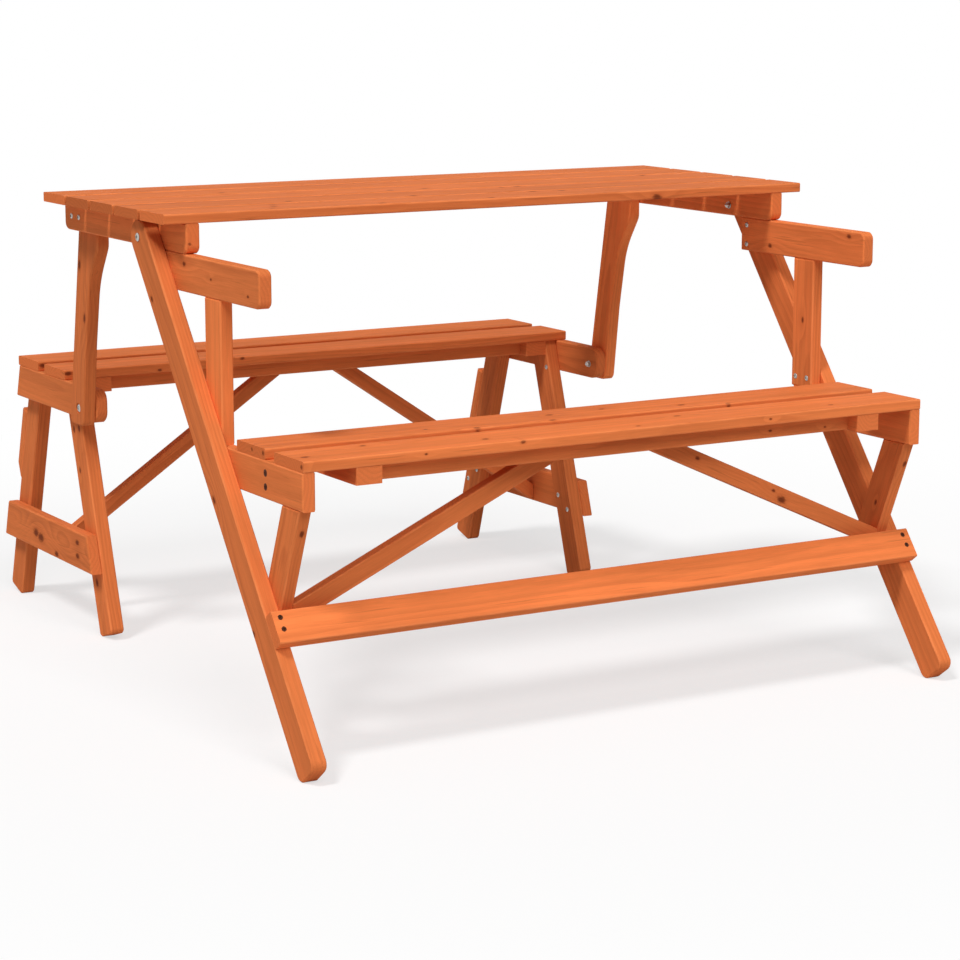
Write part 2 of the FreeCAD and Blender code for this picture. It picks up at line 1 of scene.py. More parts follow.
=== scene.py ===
"""Looks of a convertible picnic table bench: stained fir boards, plated bolts and a pale studio."""

import json
import math
import random

import bmesh
import bpy
import numpy as np
from bpy.props import FloatProperty, FloatVectorProperty, IntProperty, PointerProperty
from mathutils import Matrix, Vector


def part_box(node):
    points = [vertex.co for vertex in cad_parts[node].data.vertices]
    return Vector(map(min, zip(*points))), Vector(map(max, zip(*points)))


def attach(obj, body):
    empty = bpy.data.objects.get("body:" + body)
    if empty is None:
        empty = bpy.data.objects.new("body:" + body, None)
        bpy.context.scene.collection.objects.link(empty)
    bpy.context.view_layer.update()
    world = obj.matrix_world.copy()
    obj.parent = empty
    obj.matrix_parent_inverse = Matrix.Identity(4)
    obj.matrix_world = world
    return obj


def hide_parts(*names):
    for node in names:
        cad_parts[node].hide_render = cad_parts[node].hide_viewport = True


bl_info = {
    "name": "Convertible Picnic Bench Finishes",
    "version": (1, 0, 0),
    "blender": (4, 5, 0),
    "location": "3D View > Sidebar > Picnic Bench",
    "description": "Stains the boards, fits the bolts and sets up the studio",
    "category": "Object",
}

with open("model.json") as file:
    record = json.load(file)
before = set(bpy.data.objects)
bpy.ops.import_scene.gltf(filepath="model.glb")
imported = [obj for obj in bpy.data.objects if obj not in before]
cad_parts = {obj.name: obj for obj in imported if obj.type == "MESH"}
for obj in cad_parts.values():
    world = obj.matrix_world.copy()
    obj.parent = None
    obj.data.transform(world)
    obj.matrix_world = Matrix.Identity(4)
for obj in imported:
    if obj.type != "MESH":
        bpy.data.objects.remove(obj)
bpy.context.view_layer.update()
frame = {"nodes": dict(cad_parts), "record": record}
BODY_OF = {node: body for body, nodes in frame["record"]["behaviour"]["bodies"].items()
           for node in nodes}

# Larger knots seen on the boards: where each lies at rest, and its radius, in metres
KNOTS = {
    "front_seat_slat_1": (
        ((-0.5177, -0.5813, 0.441), 0.0065), ((-0.5365, -0.608, 0.433), 0.0055),
        ((-0.3453, -0.614, 0.4345), 0.0023), ((-0.23, -0.5822, 0.441), 0.0055),
        ((-0.1866, -0.614, 0.4378), 0.004), ((0.12, -0.5539, 0.441), 0.005),
        ((0.2487, -0.614, 0.434), 0.0024), ((0.3824, -0.5873, 0.441), 0.0045),
        ((-0.4072, -0.5424, 0.441), 0.0048), ((0.02, -0.5995, 0.441), 0.004)),
    "front_seat_slat_2": (
        ((-0.2633, -0.4674, 0.441), 0.0034), ((-0.1921, -0.493, 0.441), 0.0052),
        ((-0.0403, -0.4496, 0.441), 0.006), ((-0.0604, -0.4907, 0.441), 0.005),
        ((0.0578, -0.442, 0.441), 0.0045), ((0.1838, -0.4713, 0.441), 0.006),
        ((0.256, -0.494, 0.441), 0.0038), ((-0.5365, -0.489, 0.434), 0.0055),
        ((-0.5365, -0.4536, 0.434), 0.0045)),
    "front_seat_strip": (((0.2665, -0.5895, 0.411), 0.003), ((0.371, -0.5895, 0.408), 0.0024)),
    "front_brace_right": (
        ((0.168, -0.54, 0.37), 0.004), ((0.3276, -0.54, 0.29), 0.008),
        ((0.3123, -0.54, 0.306), 0.0034)),
    "strut_left": (((-0.5266, -0.588, 0.335), 0.0052),),
    "strut_right": (((0.5313, -0.588, 0.335), 0.0052), ((0.518, -0.5343, 0.266), 0.0042)),
    "armrest_left": (
        ((-0.538, -0.2389, 0.676), 0.0056), ((-0.538, -0.3304, 0.662), 0.003),
        ((-0.538, -0.4515, 0.65), 0.0034)),
    "armrest_right": (((0.518, -0.2407, 0.648), 0.0054), ((0.518, -0.4497, 0.681), 0.0054)),
    "front_leg_left": (
        ((-0.562, -0.1742, 0.619), 0.005), ((-0.562, -0.3789, 0.351), 0.006),
        ((-0.562, -0.5033, 0.18), 0.005)),
    "rear_bench_front_leg_left": (
        ((-0.474, 0.3632, 0.338), 0.006), ((-0.474, 0.341, 0.342), 0.006),
        ((-0.474, 0.341, 0.271), 0.005), ((-0.474, 0.28, 0.09), 0.007)),
    "stretcher_left": (
        ((-0.494, 0.5004, 0.138), 0.011), ((-0.494, 0.478, 0.133), 0.012),
        ((-0.494, 0.4077, 0.117), 0.0075), ((-0.494, 0.3136, 0.154), 0.007),
        ((-0.494, 0.3136, 0.131), 0.0075)),
    "table_arm_left": (((-0.5155, 0.218, 0.63), 0.0076), ((-0.5155, 0.2027, 0.546), 0.007)),
    "table_slat_1": (
        ((-0.3645, -0.18, 0.75), 0.005), ((-0.3887, -0.2294, 0.75), 0.005),
        ((0.1507, -0.1774, 0.75), 0.006), ((0.2871, -0.2475, 0.738), 0.008),
        ((0.0998, -0.172, 0.75), 0.0066), ((-0.0147, -0.236, 0.75), 0.0055),
        ((-0.2055, -0.235, 0.75), 0.0052), ((-0.3729, -0.202, 0.75), 0.006)),
    "table_slat_2": (
        ((-0.1018, -0.1426, 0.75), 0.0055), ((0.1281, -0.076, 0.75), 0.0062),
        ((0.101, -0.073, 0.75), 0.005), ((-0.3152, -0.1352, 0.75), 0.0055)),
    "table_slat_3": (
        ((0.4375, 0.0192, 0.75), 0.0055), ((-0.0155, -0.0276, 0.75), 0.0062),
        ((-0.0822, -0.0322, 0.75), 0.006)),
    "table_slat_4": (((-0.3355, 0.0603, 0.75), 0.005),),
    "table_batten_left": (((-0.532, -0.2475, 0.705), 0.004),),
    "rear_seat_slat_1": (
        ((-0.1662, 0.3495, 0.437), 0.0038), ((-0.3211, 0.3495, 0.428), 0.0036),
        ((-0.487, 0.3495, 0.435), 0.006)),
    "rear_seat_slat_2": (((-0.4845, 0.4685, 0.433), 0.0062),),
    "arm_post_right": (((0.518, -0.3339, 0.535), 0.0045),),
}

# How light each board's faces and sawn ends are drawn against the usual board: partly the stain,
# partly painted light and shade, lighter where a board should stand in more light and darker where
# it should lie in shade
BOARD_TONES_AND_PAINTED_LIGHT = {
    "table_slat_1": (0.88, 1.02), "table_slat_2": (0.86, 0.80), "table_slat_3": (0.89, 0.74),
    "table_slat_4": (0.87, 0.72), "table_slat_5": (0.89, 1.02),
    "table_batten_left": (1.06, 1.0), "table_batten_right": (1.06, 1.0),
    "table_arm_left": (0.87, 1.0), "table_arm_right": (1.34, 1.0),
    "front_seat_slat_1": (1.02, 0.95), "front_seat_slat_2": (0.93, 0.88),
    "front_seat_strip": (0.90, 1.0), "front_seat_apron": (0.93, 1.0),
    "rear_seat_slat_1": (1.06, 0.98), "rear_seat_slat_2": (1.0, 1.0),
    "front_leg_left": (0.90, 0.95), "front_leg_right": (0.97, 0.95),
    "front_rail_left": (0.97, 1.05), "front_rail_right": (1.0, 1.08),
    "strut_left": (0.88, 1.0), "strut_right": (0.93, 1.0),
    "front_brace_left": (0.89, 0.95), "front_brace_right": (0.88, 0.95),
    "armrest_left": (0.99, 0.93), "armrest_right": (1.01, 0.93),
    "arm_post_left": (1.12, 1.0), "arm_post_right": (1.09, 1.0),
    "footrest_board": (1.13, 1.0), "stretcher_left": (0.90, 0.95),
    "rear_rail_left": (0.93, 0.98), "rear_bench_front_leg_left": (0.97, 0.9),
    "rear_bench_back_leg_left": (0.95, 0.9), "rear_bench_front_leg_right": (0.88, 0.9),
}
USUAL_END_TONE = 1.0

# The wood's patterns: repeats in a metre along and across the board, a shift that sets each apart,
# and the detail and roughness of the ones that are noise
PATTERNS = {
    "wander": (1.3, 9.0, (0, 0, 0)),
    "ring_widths": (0.6, 14.0, (3.1, 1.7, 0.4), 2.0, 0.5),
    "ring_clearness": (2.0, 22.0, (9.0, 2.0, 5.0), 2.0, 0.5),
    "fibres": (28.0, 900.0, (0, 0, 0), 3.0, 0.62),
    "streaks": (1.6, 60.0, (5.0, 0.0, 2.0), 3.0, 0.55),
    "blotches": (3.5, 13.0, (1.0, 8.0, 2.0), 3.0, 0.6),
    "flecks": (10.0, 300.0, (7.0, 3.0, 1.0), 2.0, 0.5),
    "pin_knots": (4.2, 8.5, (2.0, 7.0, 4.0)),
    "pores": (700.0, 700.0, (0, 0, 0), 1.0, 0.5),
    "rubbed": (14.0, 50.0, (4.0, 4.0, 4.0), 3.0, 0.6),
}

# In each row of four: two values of a pattern, and what it is worth at each of them
STREAK_TONES = (0.30, 0.70, 0.91, 1.05)
BLOTCH_TONES = (0.28, 0.72, 0.93, 1.05)
FIBRE_TONES = (0.30, 0.72, 0.94, 1.04)
FLECK_TONES = (0.86, 0.98, 1.0, 0.80)
END_RING_TONES = (0.0, 1.0, 1.02, 0.945)
PORE_TONES = (0.3, 0.7, 0.95, 1.03)
RING_CLEARNESS = (0.34, 0.66, 0.25, 1.0)
FIBRE_ROUGHNESS = (0.3, 0.7, 0.05, -0.05)
EDGE_PATCHES = (0.36, 0.62, 0.10, 0.55)

# Growth rings: the grain's wander in metres, its lean towards the pith, and the uneven ring widths,
# then where in one ring the late wood darkens and ends, and how strongly it shows
GRAIN_WANDER = 0.045
PITH_LEAN = 0.035
RING_UNEVENNESS = 2.4
LATE_DARKENS = (0.15, 0.86)
LATE_ENDS = (0.90, 1.0, 1.0, 0.0)
LATE_DEPTH = 0.42
FLECKS_IN_STREAKS = 0.45

# Where a board's pith may lie: metres along, across and under it, and how far apart the boards'
# patterns are taken
PITH_ALONG = 0.3
PITH_ACROSS = 0.03
PITH_UNDER = (0.012, 0.08)
SEED_SPREAD = 20

# Pin knots: which of the scattered places have one, and the reach of its spot and its halo
PIN_KNOT_PICKED = (0.74, 0.75)
PIN_KNOT_SPOT = (0.022, 0.050, 1.0, 0.0)
PIN_KNOT_HALO = (0.03, 0.17, 0.42, 0.0)

# Placed knots: size against the given radius, how the distance from a knot counts along the board
# and inwards, its ragged rim, how far it draws the rings, and how dark its halo and heart are
KNOT_SIZE = 0.78
KNOT_ALONG = 0.62
PULL_ALONG = 0.35
KNOT_INWARD = 0.12
KNOT_RAGGED = 0.8
KNOT_RIM_REPEATS = (160.0, 420.0, 420.0)
KNOT_MARK = (0.15, 1.9, 1.0, 0.0)
PULL_REACH = 5.0
PULL_AMOUNT = 1.6
KNOT_DARKENS = (0.45, 1.0)
KNOT_HALO_DEPTH = 0.75
KNOT_HEART_DEPTH = 0.78
KNOT_END_DEPTH = 0.7

# How far along the board a sawn end looks, and the metres off an edge where its lighter band,
# rubbed stain and painted highlight, fades
END_FACES = (0.80, 0.93)
EDGE_BAND = (0.0006, 0.0042, 1.0, 0.0)

# What late wood and sawn ends add to the roughness, the shares of the relief, and the faint gloss
LATE_ROUGHNESS = -0.07
END_ROUGHNESS = 0.22
RIDGE_HEIGHT = 0.5
RIDGE_LOST_ON_END = 0.4
FIBRE_HEIGHT = 0.55
KNOT_HOLLOW = 0.9
PORE_HEIGHT = 0.8
WOOD_GLOSS = 0.03
WOOD_BUMP = 0.55

# Plated steel: repeats of its wear in a metre, the range of the wear, and what changes over it
WEAR_REPEATS = (260, 260, 260)
WEAR_RANGE = (0.3, 0.7)
WEAR_TONES = (0.84, 1.04)
WORN_ROUGHER = 0.08
WORN_SMOOTHER = 0.06
METAL_BUMP = 0.25
METAL_RELIEF = 0.0001

# Screws through the battens: places over a slat's width, shaft radius and head height against the
# head's radius, and in metres their length and how far they stand off
SEAT_SCREW_PLACES = (0.3, 0.7)
TABLE_SCREW_PLACES = (0.5,)
SCREW_SHAFT = 0.45
COUNTERSINK = 0.66
SCREW_LENGTH = 0.010
SCREW_STANDS_OFF = 0.00005

# Edges of the hardware that bend more than this stay sharp
SHARP_ANGLE = math.radians(32)

# Studio: the floor's half size, and where the lamps stand and the ways they shine
FLOOR_HALF = 30.0
FLOOR_ROUGHNESS = 0.9
LAMP_DISTANCE = 4
SIDE_LAMP_SHINES = (0.51, 0.16, -0.85)
FRONT_LAMP_SHINES = (0.10, 0.76, -0.64)


class StainedFirSettings(bpy.types.PropertyGroup):
    """Colours and sizes of the stained wood."""

    early_wood: FloatVectorProperty(
        name="Early wood", description="Stain on the soft, light part of each ring",
        subtype="COLOR", size=3, min=0, max=1, default=(0.82, 0.218, 0.064))
    late_wood: FloatVectorProperty(
        name="Late wood", description="Stain on the hard, dark line of each ring",
        subtype="COLOR", size=3, min=0, max=1, default=(0.58, 0.132, 0.037))
    knot_heart: FloatVectorProperty(
        name="Knot heart", description="Dark middle of a knot",
        subtype="COLOR", size=3, min=0, max=1, default=(0.10, 0.018, 0.008))
    end_grain: FloatVectorProperty(
        name="End grain", description="Stain soaked into sawn ends",
        subtype="COLOR", size=3, min=0, max=1, default=(0.76, 0.190, 0.057))
    # Lighter colour along the long edges: stain rubbed thin, and a painted highlight of the rounded
    # edges
    worn_edge_and_highlight: FloatVectorProperty(
        name="Worn edge", description="Stain rubbed thin along the board's long edges",
        subtype="COLOR", size=3, min=0, max=1, default=(0.90, 0.275, 0.095))
    ring_pitch: FloatProperty(
        name="Ring pitch", description="Distance from one growth ring to the next",
        unit="LENGTH", min=0.001, max=0.03, default=0.0058)
    board_difference: FloatProperty(
        name="Board difference", description="How far the boards differ in lightness",
        subtype="FACTOR", min=0, max=0.5, default=0.08)
    sheen_roughness: FloatProperty(
        name="Roughness", description="Roughness of the oiled surface",
        subtype="FACTOR", min=0, max=1, default=0.68)
    fibre_relief: FloatProperty(
        name="Fibre relief", description="Height of the raised fibres",
        unit="LENGTH", min=0, max=0.002, default=0.00022)


class HardwareSettings(bpy.types.PropertyGroup):
    """Colours and sizes of the bolts, nuts and screws."""

    zinc: FloatVectorProperty(
        name="Zinc", description="Plated bolts and nuts",
        subtype="COLOR", size=3, min=0, max=1, default=(0.53, 0.52, 0.49))
    dark_steel: FloatVectorProperty(
        name="Dark steel", description="Phosphated screw heads",
        subtype="COLOR", size=3, min=0, max=1, default=(0.085, 0.027, 0.012))
    dome_rise: FloatProperty(
        name="Dome rise", description="Height of a bolt head's dome over its radius",
        subtype="FACTOR", min=0.1, max=1, default=0.40)
    socket_size: FloatProperty(
        name="Socket size", description="Size of the hexagon socket over the head's size",
        subtype="FACTOR", min=0.1, max=0.8, default=0.58)
    pivot_head_size: FloatProperty(
        name="Pivot head size", description="Size of a pivot's domed head over its plain disc",
        subtype="FACTOR", min=0.3, max=1.3, default=0.80)
    pivot_nut_size: FloatProperty(
        name="Pivot nut size", description="Size of a pivot's domed nut over its plain disc",
        subtype="FACTOR", min=0.3, max=1.3, default=0.64)
    board_bolt_size: FloatProperty(
        name="Board bolt size", description="Size of a board bolt's domed head over its plain disc",
        subtype="FACTOR", min=0.3, max=1.3, default=0.80)
    footrest_screw_size: FloatProperty(
        name="Footrest screw size",
        description="Size of a footrest screw's head over its plain disc",
        subtype="FACTOR", min=0.3, max=1.3, default=0.80)
    rail_screw_size: FloatProperty(
        name="Rail screw size", description="Size of a rail screw's head over its plain disc",
        subtype="FACTOR", min=0.3, max=1.3, default=1.22)
    washer_thick: FloatProperty(
        name="Washer thickness", description="Thickness of the washers under the nuts",
        unit="LENGTH", min=0.0001, max=0.01, default=0.0010)
    hidden_screw_radius: FloatProperty(
        name="Batten screw radius", description="Radius of the screw heads under the slats",
        unit="LENGTH", min=0.001, max=0.01, default=0.0040)
    head_sides: IntProperty(
        name="Head sides", description="Sides of a round head, a multiple of 12",
        min=12, max=96, default=48)


class StudioSettings(bpy.types.PropertyGroup):
    """Camera, floor and lamps."""

    camera_place: FloatVectorProperty(
        name="Camera place", description="Where the camera stands", subtype="XYZ", unit="LENGTH",
        size=3, default=(-2.1832, -3.88263, 1.1076))
    camera_turn: FloatProperty(
        name="Camera turn", description="Turn of the view to the right of +Y",
        subtype="ANGLE", default=0.5323)
    camera_tilt: FloatProperty(
        name="Camera tilt", description="Tilt of the view below the horizon",
        subtype="ANGLE", default=0.1871)
    lens: FloatProperty(
        name="Lens", description="Focal length in millimetres on a 36 mm sensor",
        min=10, max=300, default=102.44)
    floor_grey: FloatProperty(
        name="Floor grey", description="Reflectance of the pale floor",
        subtype="FACTOR", min=0, max=1, default=0.62)
    floor_seen: FloatProperty(
        name="Floor seen", description="Reflectance that the floor shows where it is looked at",
        subtype="FACTOR", min=0, max=1, default=0.92)
    white_near: FloatProperty(
        name="White near", description="Share of white that thins the shadow near the object",
        subtype="FACTOR", min=0, max=1, default=0.62)
    white_from: FloatProperty(
        name="White from", description="Distance from the object's middle where white begins",
        unit="LENGTH", min=0, default=1.0)
    white_at: FloatProperty(
        name="White at", description="Distance from the object's middle where all is white",
        unit="LENGTH", min=0, default=2.2)
    side_lamp_strength: FloatProperty(
        name="Side lamp", description="Strength of the soft lamp above the left side",
        min=0, default=1.80)
    side_lamp_width: FloatProperty(
        name="Side lamp width", description="Width of the side lamp as seen from the object",
        subtype="ANGLE", default=math.radians(12))
    front_lamp_strength: FloatProperty(
        name="Front lamp", description="Strength of the soft lamp above the front",
        min=0, default=1.55)
    front_lamp_width: FloatProperty(
        name="Front lamp width", description="Width of the front lamp as seen from the object",
        subtype="ANGLE", default=math.radians(32))
    sky_strength: FloatProperty(
        name="Sky strength", description="Strength of the even light from all round",
        min=0, max=3, default=0.20)


def settings():
    """The three groups of settings."""
    scene = bpy.context.scene
    return scene.stained_fir, scene.bench_hardware, scene.bench_studio


class Tree:
    """Short calls for building a node tree."""

    def __init__(self, tree):
        self.tree = tree

    def node(self, kind, **values):
        """A node of a kind, with its properties set."""
        made = self.tree.nodes.new(kind)
        for name, value in values.items():
            setattr(made, name, value)
        return made

    def feed(self, socket, value):
        """Link a socket to another socket, or set its value."""
        if isinstance(value, bpy.types.NodeSocket):
            self.tree.links.new(value, socket)
        elif value is not None:
            socket.default_value = value

    def math(self, operation, first, second=None, clamp=False):
        """A Math node's result."""
        made = self.node("ShaderNodeMath", operation=operation, use_clamp=clamp)
        self.feed(made.inputs[0], first)
        self.feed(made.inputs[1], second)
        return made.outputs[0]

    def vector(self, operation, first, second=None, scale=None):
        """A Vector Math node's result."""
        made = self.node("ShaderNodeVectorMath", operation=operation)
        self.feed(made.inputs[0], first)
        self.feed(made.inputs[1], second)
        if scale is not None:
            self.feed(made.inputs["Scale"], scale)
        return made.outputs["Value" if operation in ("DOT_PRODUCT", "LENGTH") else "Vector"]

    def parts(self, vector):
        """A vector's three numbers."""
        made = self.node("ShaderNodeSeparateXYZ")
        self.feed(made.inputs[0], vector)
        return made.outputs

    def noise(self, vector, detail=2.0, roughness=0.5, result="Fac"):
        """A Noise Texture's value, or its colour."""
        made = self.node("ShaderNodeTexNoise")
        self.feed(made.inputs["Vector"], vector)
        self.feed(made.inputs["Scale"], 1.0)
        self.feed(made.inputs["Detail"], detail)
        self.feed(made.inputs["Roughness"], roughness)
        return made.outputs[result]

    def steps(self, value, low, high, to_low=0.0, to_high=1.0):
        """A value carried smoothly from one range to another, clamped."""
        made = self.node("ShaderNodeMapRange", clamp=True, interpolation_type="SMOOTHSTEP")
        for name, number in (("Value", value), ("From Min", low), ("From Max", high),
                             ("To Min", to_low), ("To Max", to_high)):
            self.feed(made.inputs[name], number)
        return made.outputs["Result"]

    def blend(self, factor, first, second):
        """Two colours mixed."""
        made = self.node("ShaderNodeMix", data_type="RGBA")
        self.feed(made.inputs[0], factor)
        for index, value in ((6, first), (7, second)):
            if not isinstance(value, bpy.types.NodeSocket):
                value = (*tuple(value)[:3], 1.0)
            self.feed(made.inputs[index], value)
        return made.outputs[2]

    def toned(self, colour, tone):
        """A colour made lighter or darker by a factor."""
        if not isinstance(colour, bpy.types.NodeSocket):
            colour = tuple(colour)[:3]
        return self.vector("SCALE", colour, scale=tone)

    def stretched(self, vector, factors, moved=(0, 0, 0)):
        """A pattern's coordinates scaled along their axes."""
        made = self.node("ShaderNodeMapping", vector_type="POINT")
        self.feed(made.inputs["Vector"], vector)
        made.inputs["Location"].default_value = moved
        made.inputs["Scale"].default_value = factors
        return made.outputs[0]

    def relief(self, shader, height, strength, distance):
        """Raise a shader's surface by a pattern, which is distance high at full strength."""
        bump = self.node("ShaderNodeBump")
        bump.inputs["Strength"].default_value = strength
        bump.inputs["Distance"].default_value = distance
        self.feed(bump.inputs["Height"], height)
        self.feed(shader.inputs["Normal"], bump.outputs[0])


def new_material(name):
    """A material, the tree of its nodes and its shader."""
    material = bpy.data.materials.new(name)
    material.use_nodes = True
    return material, Tree(material.node_tree), material.node_tree.nodes["Principled BSDF"]


def finished_mesh(bm, name):
    """A mesh made from a bmesh, which is freed."""
    mesh = bpy.data.meshes.new(name)
    bm.to_mesh(mesh)
    bm.free()
    return mesh


def new_object(name, data):
    """An object linked into the scene."""
    made = bpy.data.objects.new(name, data)
    bpy.context.scene.collection.objects.link(made)
    return made


def board_axes(node):
    """A board's own frame: its middle, its axes along, across and through it, and half sizes."""
    points = np.array([vertex.co for vertex in frame["nodes"][node].data.vertices], float)
    clearly_less = 1 - 1e-6
    best = None
    for still in (0, 1):
        first, second = [axis for axis in range(3) if axis != still]
        for half_degree in range(180):
            angle = math.radians(half_degree / 2)
            axes = np.zeros((3, 3))
            axes[0, still] = 1
            axes[1, first], axes[1, second] = math.cos(angle), math.sin(angle)
            axes[2, first], axes[2, second] = -math.sin(angle), math.cos(angle)
            size = float(np.prod(np.ptp(points @ axes.T, axis=0)))
            if best is None or size < best[0] * clearly_less:
                best = (size, axes)
    axes = best[1]
    axes = axes[np.argsort(-np.ptp(points @ axes.T, axis=0), kind="stable")]
    if np.linalg.det(axes) < 0:
        axes[2] *= -1
    local = points @ axes.T
    low, high = local.min(0), local.max(0)
    return axes.T @ ((low + high) / 2), axes, (high - low) / 2


def fir_group():
    """The shared pattern of the wood: growth rings, fibres, knots, end grain and worn edges."""
    wood, _, _ = settings()
    group = bpy.data.node_groups.new("fir_pattern", "ShaderNodeTree")
    for way, kind, names in (
            ("INPUT", "Vector", ("Board", "Facing", "Seed", "Half size", "Pith")),
            ("INPUT", "Float", ("Lightness", "End lightness", "Knot mark", "Knot pull")),
            ("OUTPUT", "Color", ("Colour",)),
            ("OUTPUT", "Float", ("Roughness", "Height"))):
        for name in names:
            group.interface.new_socket(name, in_out=way, socket_type="NodeSocket" + kind)
    t = Tree(group)
    source = t.node("NodeGroupInput").outputs
    board = source["Board"]
    seeded = t.vector("ADD", board, source["Seed"])

    def laid(name):
        """The board's coordinates as one pattern reads them."""
        along, across, shift = PATTERNS[name][:3]
        return t.stretched(seeded, (along, across, across), shift)

    def noisy(name):
        """The value of one noise pattern."""
        return t.noise(laid(name), *PATTERNS[name][3:])

    # Slow wander of the grain along the board
    wander = t.noise(laid("wander"), result="Color")
    drift = t.vector("SCALE", t.vector("SUBTRACT", wander, (0.5, 0.5, 0.5)), scale=GRAIN_WANDER)
    grained = t.vector("ADD", board, drift)

    # Rings about a pith that lies under the board, drawn aside by the knots
    from_pith = t.vector("SUBTRACT", grained, source["Pith"])
    leaning = t.vector("MULTIPLY", from_pith, (PITH_LEAN, 1.0, 1.0))
    radius = t.math("ADD", t.vector("LENGTH", leaning), source["Knot pull"])
    rings = t.math("DIVIDE", radius, wood.ring_pitch)
    uneven = t.math("MULTIPLY", noisy("ring_widths"), RING_UNEVENNESS)
    phase = t.math("FRACT", t.math("ADD", rings, uneven))
    late = t.math("MULTIPLY", t.steps(phase, *LATE_DARKENS), t.steps(phase, *LATE_ENDS))
    clearness = t.steps(noisy("ring_clearness"), *RING_CLEARNESS)
    late_share = t.math("MULTIPLY", late, clearness)
    colour = t.blend(t.math("MULTIPLY", late_share, LATE_DEPTH), wood.early_wood, wood.late_wood)

    # Fine fibres, long soft streaks, blotches, and dark flecks that gather in the streaks
    fibres = noisy("fibres")
    streaks = noisy("streaks")
    streak_tone = t.steps(streaks, *STREAK_TONES)
    blotch_tone = t.steps(noisy("blotches"), *BLOTCH_TONES)
    fibre_tone = t.steps(fibres, *FIBRE_TONES)
    gathered = t.math("ADD", noisy("flecks"), t.math("MULTIPLY", streaks, FLECKS_IN_STREAKS))
    fleck_tone = t.steps(gathered, *FLECK_TONES)
    tone = t.math("MULTIPLY", t.math("MULTIPLY", streak_tone, blotch_tone), fibre_tone)
    tone = t.math("MULTIPLY", tone, fleck_tone)
    colour = t.toned(colour, tone)

    # Small pin knots scattered through the wood, and the placed knots, with soft dark halos
    scatter = t.node("ShaderNodeTexVoronoi", feature="F1")
    t.feed(scatter.inputs["Vector"], laid("pin_knots"))
    t.feed(scatter.inputs["Scale"], 1.0)
    away = scatter.outputs["Distance"]
    pick = t.vector("DOT_PRODUCT", scatter.outputs["Color"], (1, 0, 0))
    pick = t.steps(pick, *PIN_KNOT_PICKED)
    spot = t.math("MULTIPLY", t.steps(away, *PIN_KNOT_SPOT), pick)
    halo = t.math("MULTIPLY", t.steps(away, *PIN_KNOT_HALO), pick)
    placed = source["Knot mark"]
    mark = t.math("MAXIMUM", spot, t.steps(placed, *KNOT_DARKENS), clamp=True)
    shade = t.math("MAXIMUM", halo, t.math("MULTIPLY", placed, KNOT_HALO_DEPTH))
    colour = t.blend(shade, colour, wood.late_wood)
    colour = t.blend(t.math("MULTIPLY", mark, KNOT_HEART_DEPTH), colour, wood.knot_heart)

    # Sawn ends: rings seen end on, darker and rougher
    end = t.steps(t.math("ABSOLUTE", t.parts(source["Facing"])["X"]), *END_FACES)
    pores = noisy("pores")
    end_tone = t.math("MULTIPLY", t.steps(late, *END_RING_TONES), t.steps(pores, *PORE_TONES))
    end_tone = t.math("MULTIPLY", end_tone, source["End lightness"])
    end_colour = t.blend(t.math("MULTIPLY", mark, KNOT_END_DEPTH),
                         t.toned(wood.end_grain, end_tone), wood.knot_heart)
    colour = t.blend(end, t.toned(colour, source["Lightness"]), end_colour)

    # Long edges lighter in patches: stain rubbed thin, and a painted highlight where the rounded
    # edges catch the light
    place = t.parts(board)
    half = t.parts(source["Half size"])
    to_side = t.math("SUBTRACT", half["Y"], t.math("ABSOLUTE", place["Y"]))
    to_face = t.math("SUBTRACT", half["Z"], t.math("ABSOLUTE", place["Z"]))
    edge = t.steps(t.math("MAXIMUM", to_side, to_face), *EDGE_BAND)
    patches = t.steps(noisy("rubbed"), *EDGE_PATCHES)
    colour = t.blend(t.math("MULTIPLY", edge, patches), colour, wood.worn_edge_and_highlight)

    # Late wood is smoother and stands proud, sawn ends are rough, and knots lie a little hollow
    rough = t.math("ADD", t.math("MULTIPLY", late_share, LATE_ROUGHNESS), wood.sheen_roughness)
    rough = t.math("ADD", t.steps(fibres, *FIBRE_ROUGHNESS), rough)
    rough = t.math("ADD", rough, t.math("MULTIPLY", end, END_ROUGHNESS), clamp=True)
    ridge = t.math("SUBTRACT", RIDGE_HEIGHT, t.math("MULTIPLY", end, RIDGE_LOST_ON_END))
    ridges = t.math("MULTIPLY", late_share, ridge)
    relief = t.math("ADD", t.math("MULTIPLY", fibres, FIBRE_HEIGHT), ridges)
    relief = t.math("SUBTRACT", relief, t.math("MULTIPLY", mark, KNOT_HOLLOW))
    end_pores = t.math("MULTIPLY", end, pores)
    relief = t.math("ADD", relief, t.math("MULTIPLY", end_pores, PORE_HEIGHT))
    result = t.node("NodeGroupOutput").inputs
    t.feed(result["Colour"], colour)
    t.feed(result["Roughness"], rough)
    t.feed(result["Height"], relief)
    return group


